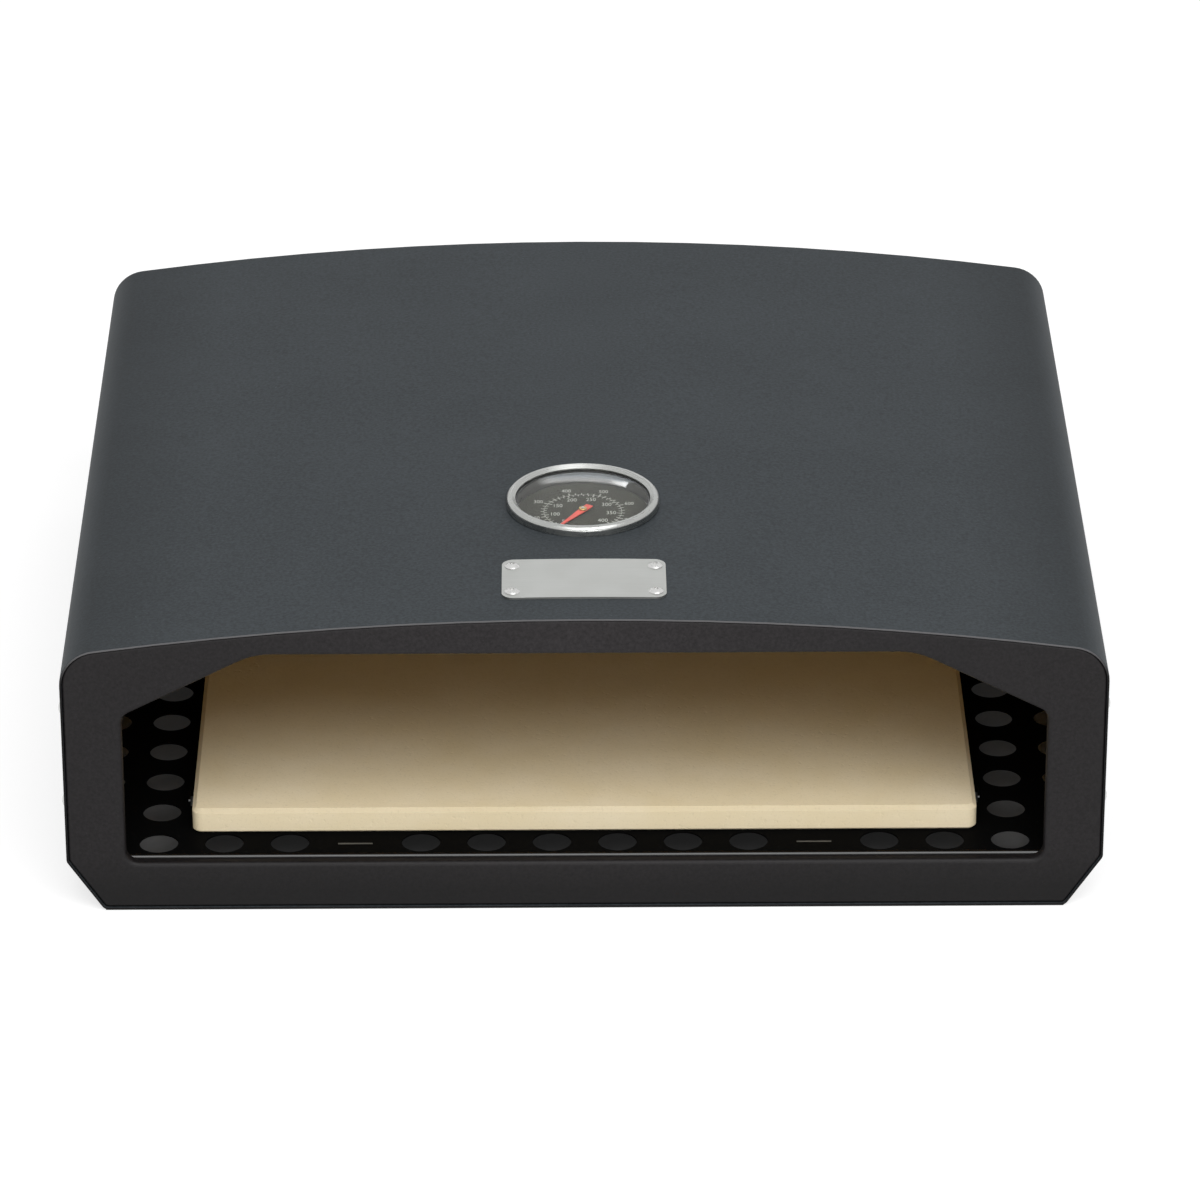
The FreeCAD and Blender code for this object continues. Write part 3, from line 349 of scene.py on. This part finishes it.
def fired_stone(name):
    """Fired cordierite: fine sandy grain, a warm mottle and small pits."""
    material, tree, shader = new_material(name, Specular_IOR_Level=0.2)
    where = place(tree)
    mottle = noise(tree, where, grains=30.0, detail=5.0, roughness=0.6)
    grain = noise(tree, where, grains=1100.0, detail=3.0, roughness=0.65)
    colour = blend(tree, spread(tree, mottle, *STONE_MOTTLE_RANGE), STONE_WARM, STONE_PALE)
    specks = spread(tree, grain, *STONE_GRAIN_RANGE, 0.0, STONE_GRAIN_SHARE)
    colour = blend(tree, specks, colour, times(STONE_WARM, STONE_GRAIN_DARK))
    # Painted shade on the front and rear chamfers
    colour = blend(tree, rubbed_edges(tree), colour, BLACK)
    tree.links.new(colour, shader.inputs["Base Color"])
    rough = spread(tree, grain, *NOISE_RANGE, *STONE_ROUGHNESS)
    tree.links.new(rough, shader.inputs["Roughness"])
    pits = spread(tree, noise(tree, where, grains=420.0, detail=2.0), *STONE_PIT_RANGE)
    height = total(tree, product(tree, grain, STONE_GRAIN_HEIGHT), pits)
    bump(tree, shader, height, depth=0.12 * MM, strength=0.6)
    return material


def brushed(*stretch):
    """Places on a brushed piece, whose lines run along the axis that is stretched least."""
    return lambda tree: place(tree, stretch)


def turned(node, across, around):
    """Places on a turned piece, whose lines run round its upright axis."""
    low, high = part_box(node)
    to_axis = (-(low.x + high.x) / 2, -(low.y + high.y) / 2, 0.0)

    def places(tree):
        part = split(tree, reckon_vector(tree, "ADD", place(tree), to_axis)["Vector"])
        flat = add(tree, "CombineXYZ", {"X": part["X"], "Y": part["Y"]}).outputs[0]
        radius = reckon_vector(tree, "LENGTH", flat)["Value"]
        rings = product(tree, total(tree, radius, part["Z"]), across)
        out = add(tree, "CombineXYZ", {"Z": rings}).outputs[0]
        way = scaled_vector(tree, reckon_vector(tree, "NORMALIZE", flat)["Vector"], around)
        return reckon_vector(tree, "ADD", way, out)["Vector"]

    return places


def metal(name, tone, roughness, places, streak=0.06):
    """Bare metal with fine lines from its finishing."""
    material, tree, shader = new_material(name, Metallic=1.0)
    lines = noise(tree, places(tree), grains=1.0, detail=3.0, roughness=0.6)
    patches = noise(tree, place(tree), grains=90.0, detail=3.0)
    deep = times(tone, 1.0 - streak)
    pale = times(tone, 1.0 + streak)
    colour = blend(tree, spread(tree, lines, *NOISE_RANGE), deep, pale)
    tree.links.new(colour, shader.inputs["Base Color"])
    uneven = spread(tree, lines, *NOISE_RANGE, roughness - METAL_SWING, roughness + METAL_SWING)
    rough = total(tree, uneven, spread(tree, patches, *METAL_PATCH_RANGE, *METAL_PATCH_SWING))
    tree.links.new(rough, shader.inputs["Roughness"])
    bump(tree, shader, lines, depth=0.01 * MM, strength=0.5)
    return material


def print_or_paint(name, tone, roughness, relief=0.02 * MM, specular=0.35):
    """Thin paint or screen print, with the small unevenness of its film."""
    material, tree, shader = new_material(name, Specular_IOR_Level=specular)
    where = place(tree)
    film = noise(tree, where, grains=1600.0, detail=3.0, roughness=0.6)
    clouds = noise(tree, where, grains=160.0, detail=3.0)
    colour = blend(tree, spread(tree, clouds, *NOISE_RANGE), times(tone, PAINT_DEEP), tone)
    tree.links.new(colour, shader.inputs["Base Color"])
    rough = spread(tree, film, *NOISE_RANGE, roughness - PAINT_SWING, roughness + PAINT_SWING)
    tree.links.new(rough, shader.inputs["Roughness"])
    bump(tree, shader, film, depth=relief, strength=0.5)
    return material


def clear_glass(name):
    """Clear pressed glass with little glare, and the faintest smear on its face."""
    material, tree, shader = new_material(
        name, Base_Color=GLASS_TINT, Transmission_Weight=1.0, IOR=GLASS_INDEX)
    smear = noise(tree, place(tree, SMEAR_STRETCH), grains=120.0, detail=4.0, roughness=0.6)
    rough = spread(tree, smear, *SMEAR_RANGE, *SMEAR_ROUGHNESS)
    tree.links.new(rough, shader.inputs["Roughness"])
    bump(tree, shader, smear, depth=0.002 * MM, strength=0.1)
    return material


materials = {
    "shell_coat": powder_coat(
        "shell_coat", SHELL_TONE, SHELL_PALE, roughness=0.55, specular=0.09, bare_inside=True),
    "panel_coat": powder_coat(
        "panel_coat", PANEL_TONE, PANEL_PALE, roughness=0.5, specular=0.2),
    "floor_enamel": enamel("floor_enamel", roughness=0.5, specular=0.006),
    "bracket_steel": metal(
        "bracket_steel", (0.125, 0.14, 0.175), roughness=0.34, places=brushed(60.0, 900.0, 900.0)),
    "stone": fired_stone("stone"),
    "badge_steel": metal(
        "badge_steel", (0.435, 0.439, 0.420), roughness=0.36, places=brushed(25.0, 2600.0, 2600.0),
        streak=0.05),
    "rivet_metal": metal(
        "rivet_metal", (0.62, 0.62, 0.61), roughness=0.26, places=brushed(700.0, 700.0, 700.0)),
    "bezel_steel": metal(
        "bezel_steel", (0.43, 0.438, 0.425), roughness=0.27,
        places=turned("gauge_bezel", across=3500.0, around=3.0), streak=0.05),
    "gauge_steel": metal(
        "gauge_steel", (0.45, 0.45, 0.44), roughness=0.32,
        places=turned("stem_tube", across=2500.0, around=4.0)),
    "gasket_rubber": print_or_paint("gasket_rubber", (0.03, 0.03, 0.03), roughness=0.6),
    "lens_glass": clear_glass("lens_glass"),
    "dial_coat": print_or_paint("dial_coat", (0.0490, 0.0477, 0.0362), roughness=0.5, specular=0.06),
    "hub_brass": metal(
        "hub_brass", (0.62, 0.45, 0.18), roughness=0.28,
        places=turned("pointer_hub", across=3000.0, around=3.0)),
    "pointer_coat": print_or_paint("pointer_coat", (0.80, 0.095, 0.065), roughness=0.42),
}
gloss_enamel = enamel("gloss_enamel", roughness=0.14, specular=0.5)
dial_ink = print_or_paint("dial_ink", (0.44, 0.44, 0.40), roughness=0.5, relief=0.01 * MM)

for part in frame["record"]["subparts"]:
    mesh = nodes[part["node"]].data
    mesh.materials.clear()
    mesh.materials.append(materials[part["material_slot"]])
# The enamel is thick and glossy on the bends, and rubbed matt by the stone and tools on the flat
for node in ("floor_hems", "stone_guides"):
    nodes[node].data.materials[0] = gloss_enamel


# Print of the dial: two scales of numbers and the ring of lines between them

dial_low, dial_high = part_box("dial_plate")
DIAL_CENTRE = Vector(((dial_low.x + dial_high.x) / 2, (dial_low.y + dial_high.y) / 2, dial_high.z))
INK_THICKNESS = 0.02 * MM
NUMBER_SHAPE = (0.92, 1.4)
NUMBER_BOLDNESS = 0.01
NUMBER_SMOOTHNESS = 3
RING_RADIUS = 15.3 * MM
RING_WIDTH = 0.18 * MM
RING_PARTS = 96
LONG_WIDTH = 0.50 * MM
SHORT_WIDTH = 0.38 * MM
INWARD = -1
OUTWARD = 1
# The inner scale runs from 50 to 400, and the outer one shows the same heat in other degrees, from 100 to 800
FIRST_ANGLE = 218.7
FIRST_HEAT = 50.0
ANGLE_PER_DEGREE = 39.6 / 50.0
OUTER_ZERO = 32.0
OUTER_PER_INNER = 1.8
INNER_ENDS = (50, 400)
INNER_STEP = 50
INNER_FINE_STEP = 10
INNER_RADIUS = 11.2 * MM
INNER_SIZE = 2.9 * MM
INNER_REACHES = (1.7 * MM, 1.2 * MM)
OUTER_ENDS = (100, 800)
OUTER_STEP = 100
OUTER_FINE_STEP = 20
OUTER_RADIUS = 19.6 * MM
OUTER_SIZE = 2.7 * MM
OUTER_REACHES = (1.8 * MM, 1.3 * MM)


def inner_angle(heat):
    """Where a heat of the inner scale lies, clockwise from the rear, in radians."""
    return math.radians(FIRST_ANGLE + (heat - FIRST_HEAT) * ANGLE_PER_DEGREE)


def outer_angle(heat):
    """Where a heat of the outer scale lies, clockwise from the rear, in radians."""
    return inner_angle((heat - OUTER_ZERO) / OUTER_PER_INNER)


def on_dial(angle, radius):
    """A point of the dial's face, clockwise from the rear."""
    return DIAL_CENTRE + Vector((math.sin(angle) * radius, math.cos(angle) * radius, 0.0))


def steps(ends, step):
    """The heats from one end of a scale to the other."""
    first, last = ends
    return range(first, last + 1, step)


def add_prism(mesh, corners, height):
    """A thin flat shape with a top, sides and a base."""
    base = [mesh.verts.new(corner) for corner in corners]
    top = [mesh.verts.new(corner + Vector((0.0, 0.0, height))) for corner in corners]
    count = len(corners)
    mesh.faces.new(top)
    mesh.faces.new(list(reversed(base)))
    for index in range(count):
        after = (index + 1) % count
        mesh.faces.new((base[index], base[after], top[after], top[index]))


def add_line(mesh, angle, inner, outer, width):
    """A straight line of the scale along a radius."""
    along = on_dial(angle, 1.0) - DIAL_CENTRE
    across = Vector((along.y, -along.x, 0.0)) * (width / 2)
    near, far = DIAL_CENTRE + along * inner, DIAL_CENTRE + along * outer
    add_prism(mesh, (near - across, near + across, far + across, far - across), INK_THICKNESS)


def add_arc(mesh, start, end, radius, width):
    """A thin band of the scale round the dial."""
    inner, outer = radius - width / 2, radius + width / 2
    for part in range(RING_PARTS):
        first = start + (end - start) * part / RING_PARTS
        second = start + (end - start) * (part + 1) / RING_PARTS
        outer_corners = (on_dial(first, outer), on_dial(second, outer))
        inner_corners = (on_dial(second, inner), on_dial(first, inner))
        add_prism(mesh, outer_corners + inner_corners, INK_THICKNESS)


def add_lines(mesh, heats, number_step, angle_of, reaches, side):
    """The lines of one scale on one side of the ring, long at its numbers and short between them."""
    for heat in heats:
        long = heat % number_step == 0
        reach = reaches[0] if long else reaches[1]
        width = LONG_WIDTH if long else SHORT_WIDTH
        inner, outer = sorted((RING_RADIUS + side * RING_WIDTH / 2, RING_RADIUS + side * reach))
        add_line(mesh, angle_of(heat), inner, outer, width)


def add_number(mesh, words, spot, size):
    """An upright number centred on a spot of the dial."""
    curve = bpy.data.curves.new("number", "FONT")
    curve.body = words
    curve.align_x = "CENTER"
    curve.align_y = "CENTER"
    curve.size = size
    curve.extrude = INK_THICKNESS / 2
    curve.offset = NUMBER_BOLDNESS * size
    curve.resolution_u = NUMBER_SMOOTHNESS
    holder = bpy.data.objects.new("number", curve)
    scene.collection.objects.link(holder)
    bpy.context.view_layer.update()
    drawn = bpy.data.meshes.new_from_object(holder.evaluated_get(bpy.context.evaluated_depsgraph_get()))
    narrow, tall = NUMBER_SHAPE
    lift = Matrix.Translation(spot + Vector((0.0, 0.0, INK_THICKNESS / 2)))
    drawn.transform(lift @ Matrix.Diagonal((narrow, tall, 1.0, 1.0)))
    mesh.from_mesh(drawn)
    bpy.data.objects.remove(holder)
    bpy.data.curves.remove(curve)
    bpy.data.meshes.remove(drawn)


def finish_piece(name, mesh, material, body):
    """An object from a made mesh, which rides on a body and takes the finish it is given."""
    bmesh.ops.recalc_face_normals(mesh, faces=mesh.faces)
    data = bpy.data.meshes.new(name)
    mesh.to_mesh(data)
    mesh.free()
    data.materials.append(material)
    piece = bpy.data.objects.new(name, data)
    scene.collection.objects.link(piece)
    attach(piece, body)


numbers = bmesh.new()
for heat in steps(INNER_ENDS, INNER_STEP):
    add_number(numbers, str(heat), on_dial(inner_angle(heat), INNER_RADIUS), INNER_SIZE)
finish_piece("dial_numbers_inner", numbers, dial_ink, "oven")

numbers = bmesh.new()
for heat in steps(OUTER_ENDS, OUTER_STEP):
    add_number(numbers, str(heat), on_dial(outer_angle(heat), OUTER_RADIUS), OUTER_SIZE)
finish_piece("dial_numbers_outer", numbers, dial_ink, "oven")

lines = bmesh.new()
ring_start, ring_end = (outer_angle(heat) for heat in OUTER_ENDS)
add_arc(lines, ring_start, ring_end, RING_RADIUS, RING_WIDTH)
add_lines(lines, steps(INNER_ENDS, INNER_FINE_STEP), INNER_STEP, inner_angle, INNER_REACHES, INWARD)
add_lines(lines, steps(OUTER_ENDS, OUTER_FINE_STEP), OUTER_STEP, outer_angle, OUTER_REACHES, OUTWARD)
finish_piece("dial_lines", lines, dial_ink, "oven")


# Studio: a pale floor that the camera sees as white, soft lamps, and the photograph's camera

FLOOR_SIZE = 40.0
FLOOR_DROP = 0.0004
PAPER_DEEP = (0.41, 0.41, 0.41)
PAPER_PALE = (0.43, 0.43, 0.43)
WHITE_LIFT = 0.70
# The ground under the oven is darkened as painted shade, and given a faint painted glow that shows through
# the floor's holes
HALF_FOOTPRINT = (0.1855, 0.1795)
SHADED_GROUND_DEEP = (0.16, 0.16, 0.16)
SHADED_GROUND_PALE = (0.24, 0.24, 0.24)
UNDER_GLOW = 0.0115

# Light of the sky: it grows with the height of a direction, and falls to its sides
SKY_HEIGHTS = (0.0, 0.8)
SKY_LIGHT = (0.10, 0.80)
SKY_SIDES = (0.2, 0.9)
SKY_SIDE_SHARES = (1.0, 0.4)

# Window far behind, in directions: the heights of its foot, sill and top, its curve, and its soft edges
WINDOW_HEIGHTS = (0.300, 0.349, 0.3665)
WINDOW_CURVE = 10.7
TOP_BLUR = 0.0008
SILL_BLUR = 0.002
PANE_LEFT = (-0.0345, -0.0245)
PANE_RIGHT = (0.0445, 0.0430)
PANE_BRIGHT_END = (0.028, 0.041)
PANE_LIGHT = (2.7, 9.5)
LOWER_SIDES = (0.085, 0.045)
LOWER_LIGHT = 2.0
LOWER_TINT = (0.90, 0.98, 1.06)

# Name, spot, target, width, height and brightness of each lamp
LAMPS = (
    ("lamp_front", (0.415, -1.73, 2.125), (0.0, -0.15, 0.05), 2.6, 1.8, 3.9),
    ("lamp_low", (0.1, -2.45, 0.22), (0.0, -0.16, 0.06), 2.4, 0.3, 5.2),
)

# Camera: its turns are in radians, and its lens and sensor in millimetres
CAMERA_SPOT = (-0.013016, -2.385755, 1.233288)
CAMERA_YAW = 0.008557
CAMERA_PITCH = 0.462781
CAMERA_ROLL = 0.00081
CAMERA_LENS = 195.53
CAMERA_SENSOR = 36.0
CAMERA_CLIP = (0.05, 100.0)


def background_rays(tree):
    """1 for rays that show the background to the camera, in mirrors or through glass."""
    path = add(tree, "LightPath").outputs
    rays = total(tree, path["Is Camera Ray"], path["Is Glossy Ray"], path["Is Transmission Ray"])
    return reckon(tree, "MINIMUM", rays, 1.0)


def floor_material():
    """A pale floor that the camera and mirrors see as white, and the ground under the oven, darkened as
    painted shade with a faint painted glow.
    """
    material, tree, shader = new_material(
        "studio_floor", Roughness=0.9, Specular_IOR_Level=0.0, Emission_Color=(*WHITE, 1.0))
    where = place(tree)
    part = split(tree, where)
    beyond = []
    for axis, half in zip("XY", HALF_FOOTPRINT):
        beyond.append(reckon(tree, "GREATER_THAN", reckon(tree, "ABSOLUTE", part[axis]), half))
    outside = reckon(tree, "MAXIMUM", *beyond)
    paper = blend(tree, noise(tree, where, grains=3.0, detail=3.0), PAPER_DEEP, PAPER_PALE)
    # Painted shade and a faint painted glow on the ground under the oven
    ground = blend(tree, noise(tree, where, grains=120.0, detail=3.0), SHADED_GROUND_DEEP, SHADED_GROUND_PALE)
    tree.links.new(blend(tree, outside, ground, paper), shader.inputs["Base Color"])
    glow = spread(tree, outside, 0.0, 1.0, UNDER_GLOW, WHITE_LIFT)
    tree.links.new(product(tree, glow, background_rays(tree)), shader.inputs["Emission Strength"])
    return material


def make_floor():
    """One large quad just under the oven."""
    mesh = bmesh.new()
    half = FLOOR_SIZE / 2
    outline = ((-half, -half), (half, -half), (half, half), (-half, half))
    mesh.faces.new([mesh.verts.new((x, y, -FLOOR_DROP)) for x, y in outline])
    data = bpy.data.meshes.new("studio_floor")
    mesh.to_mesh(data)
    mesh.free()
    data.materials.append(floor_material())
    floor = bpy.data.objects.new("studio_floor", data)
    scene.collection.objects.link(floor)


def window(tree, direction):
    """A low curved window far behind, which the domed lens mirrors as a pale crescent at its rear edge.

    The first value is the light it adds, and the second is the share of its bluish lower pane.
    """
    part = split(tree, direction)
    across = part["X"]
    level = total(tree, part["Z"], product(tree, across, across, -WINDOW_CURVE))
    behind = reckon(tree, "GREATER_THAN", part["Y"], 0.0)
    side = reckon(tree, "ABSOLUTE", across)
    foot, sill, top = WINDOW_HEIGHTS
    pane = product(
        tree,
        behind,
        spread(tree, level, top + TOP_BLUR, top - TOP_BLUR),
        spread(tree, level, sill - SILL_BLUR, sill + SILL_BLUR),
        spread(tree, across, *PANE_LEFT),
        spread(tree, across, *PANE_RIGHT),
    )
    lower = product(
        tree,
        behind,
        spread(tree, level, sill + SILL_BLUR, sill - SILL_BLUR),
        spread(tree, level, foot - SILL_BLUR, foot),
        spread(tree, side, *LOWER_SIDES),
    )
    bright = spread(tree, across, *PANE_BRIGHT_END, *PANE_LIGHT)
    light = total(tree, product(tree, pane, bright), product(tree, lower, LOWER_LIGHT))
    return light, lower


def make_world():
    """Soft light from all round, white to the camera and in mirrors."""
    world = bpy.data.worlds.new("studio")
    scene.world = world
    world.use_nodes = True
    tree = world.node_tree
    tree.nodes.clear()
    direction = add(tree, "TexCoord").outputs["Generated"]
    part = split(tree, direction)
    side = reckon(tree, "ABSOLUTE", part["X"])
    sky = spread(tree, part["Z"], *SKY_HEIGHTS, *SKY_LIGHT)
    level = product(tree, sky, spread(tree, side, *SKY_SIDES, *SKY_SIDE_SHARES))
    plain = reckon(tree, "MAXIMUM", level, background_rays(tree))
    window_light, lower = window(tree, direction)
    tint = blend(tree, lower, WHITE, LOWER_TINT)
    light = add(tree, "Background", {"Color": tint, "Strength": total(tree, plain, window_light)})
    out = add(tree, "OutputWorld")
    tree.links.new(light.outputs[0], out.inputs["Surface"])


def softbox(name, spot, target, width, height, radiance):
    """A rectangular lamp of a given brightness that faces a point."""
    lamp = bpy.data.lights.new(name, "AREA")
    lamp.shape = "RECTANGLE"
    lamp.size = width
    lamp.size_y = height
    lamp.energy = radiance * math.pi * width * height
    holder = bpy.data.objects.new(name, lamp)
    scene.collection.objects.link(holder)
    holder.location = spot
    holder.rotation_mode = "QUATERNION"
    holder.rotation_quaternion = (Vector(target) - Vector(spot)).to_track_quat("-Z", "Y")
    holder.visible_camera = False


def make_camera():
    """The photograph's camera, found from the casing's edges."""
    level = math.cos(CAMERA_PITCH)
    forward = Vector((math.sin(CAMERA_YAW) * level, math.cos(CAMERA_YAW) * level, -math.sin(CAMERA_PITCH)))
    right = Vector((math.cos(CAMERA_YAW), -math.sin(CAMERA_YAW), 0.0))
    down = forward.cross(right)
    across = math.cos(CAMERA_ROLL) * right + math.sin(CAMERA_ROLL) * down
    below = -math.sin(CAMERA_ROLL) * right + math.cos(CAMERA_ROLL) * down
    data = bpy.data.cameras.new("camera")
    data.sensor_fit = "HORIZONTAL"
    data.sensor_width = CAMERA_SENSOR
    data.lens = CAMERA_LENS
    data.clip_start, data.clip_end = CAMERA_CLIP
    camera = bpy.data.objects.new("camera", data)
    scene.collection.objects.link(camera)
    turn = Matrix((across, -below, -forward)).transposed()
    camera.matrix_world = Matrix.Translation(CAMERA_SPOT) @ turn.to_4x4()
    scene.camera = camera


make_floor()
make_world()
for lamp_values in LAMPS:
    softbox(*lamp_values)
make_camera()
scene.view_settings.view_transform = "Standard"
